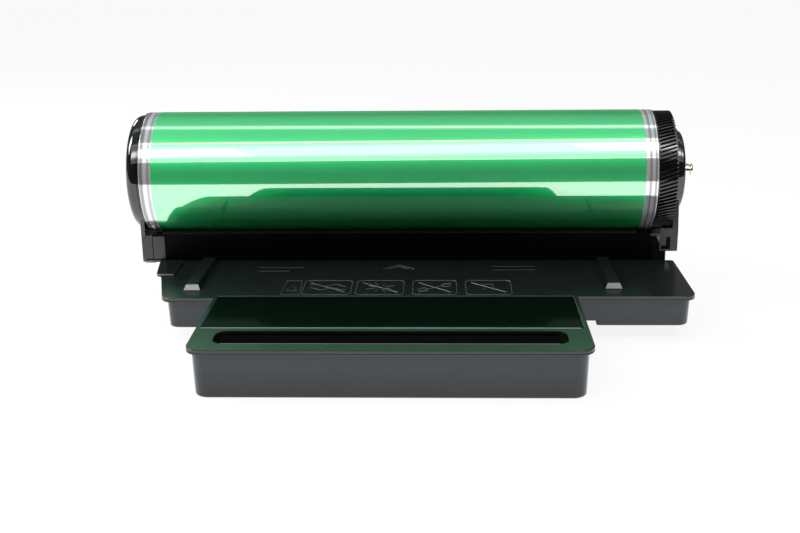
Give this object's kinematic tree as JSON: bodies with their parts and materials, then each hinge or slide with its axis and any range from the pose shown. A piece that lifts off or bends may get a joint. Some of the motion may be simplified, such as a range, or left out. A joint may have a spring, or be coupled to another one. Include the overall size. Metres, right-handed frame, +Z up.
{
  "type": "printer drum unit",
  "caption": "Imaging unit of a small laser printer: green photoconductor drum with a helical drive gear, cleaning housing and T-shaped waste toner container with a slotted handle.",
  "frame": {"origin": "middle of the bounding box at its base, on the plane that the handle box and the runners rest on", "axes": "+X along the drum's axis towards its gear, +Y from the handle to the drum, +Z up"},
  "size_m": [0.2774, 0.173, 0.0922],
  "materials": {
    "photoconductor_green": "high gloss green photoconductor layer",
    "drum_aluminium": "turned, fine rings",
    "glossy_black": "glossy moulded black",
    "gear_black": "satin moulded black",
    "housing_black": "matt moulded black",
    "tub_grey": "fine matt moulded dark grey",
    "lid_black": "glossy moulded black with a green cast",
    "shaft_steel": "ground steel",
    "spring_steel": "drawn spring steel",
    "zinc_steel": "zinc plated sheet",
    "contact_bronze": "phosphor bronze strip",
    "blade_urethane": "amber urethane",
    "roller_rubber": "smooth conductive rubber",
    "seal_foam": "open cell foam",
    "clear_film": "thin polyester film",
    "bearing_white": "natural acetal"
  },
  "bodies": {
    "frame": {"drum_shaft": "shaft_steel", "shaft_clip": "spring_steel", "left_end_plate": "glossy_black", "right_end_plate": "glossy_black", "left_plate_screws": "zinc_steel", "right_plate_screws": "zinc_steel", "cleaning_housing": "housing_black", "cleaning_blade": "blade_urethane", "blade_bracket": "zinc_steel", "blade_screws": "zinc_steel", "toner_catch_film": "clear_film", "left_blade_seal": "seal_foam", "right_blade_seal": "seal_foam", "auger_shaft_seal": "seal_foam", "idler_pin": "shaft_steel", "charge_contact": "contact_bronze", "left_bearing_spring": "spring_steel", "right_bearing_spring": "spring_steel", "waste_lid": "lid_black", "waste_tub": "tub_grey", "waste_port_seal": "seal_foam"},
    "drum": {"drum_tube": "drum_aluminium", "photoconductor_coating": "photoconductor_green", "left_flange": "gear_black", "drum_gear": "gear_black", "grounding_plate": "contact_bronze"},
    "idler": {"idler_gear": "bearing_white"},
    "auger": {"waste_auger": "bearing_white", "auger_gear": "bearing_white"},
    "roller_carriage": {"left_roller_bearing": "bearing_white", "right_roller_bearing": "bearing_white", "pad_holder": "housing_black", "roller_cleaning_pad": "seal_foam"},
    "charge_roller": {"charge_roller_core": "shaft_steel", "charge_roller_sleeve": "roller_rubber"}
  },
  "joints": [
    {"name": "drum_spin", "type": "hinge", "parent": "frame", "child": "drum", "pos_m": [-0.0073, 0.0565, 0.0622], "axis": [1, 0, 0], "continuous": true},
    {"name": "idler_spin", "type": "hinge", "parent": "frame", "child": "idler", "pos_m": [0.1197, 0.0568, 0.02719], "axis": [1, 0, 0], "continuous": true},
    {"name": "auger_spin", "type": "hinge", "parent": "frame", "child": "auger", "pos_m": [-0.0073, 0.04498, 0.0252], "axis": [1, 0, 0], "continuous": true},
    {"name": "roller_slide", "type": "slide", "parent": "frame", "child": "roller_carriage", "axis": [0, 0, 1], "range_m": [-0.0008, 0], "stiffness_N_per_m": 1600, "springref_m": 0.0025, "deforming": ["left_bearing_spring", "right_bearing_spring"]},
    {"name": "charge_roller_spin", "type": "hinge", "parent": "roller_carriage", "child": "charge_roller", "pos_m": [-0.0073, 0.07142, 0.03021], "axis": [1, 0, 0], "continuous": true}
  ],
  "couplings": [
    {"joint": "idler_spin", "follows": "drum_spin", "ratio": -4.55},
    {"joint": "auger_spin", "follows": "drum_spin", "ratio": 5.0556},
    {"joint": "charge_roller_spin", "follows": "drum_spin", "ratio": -6}
  ]
}
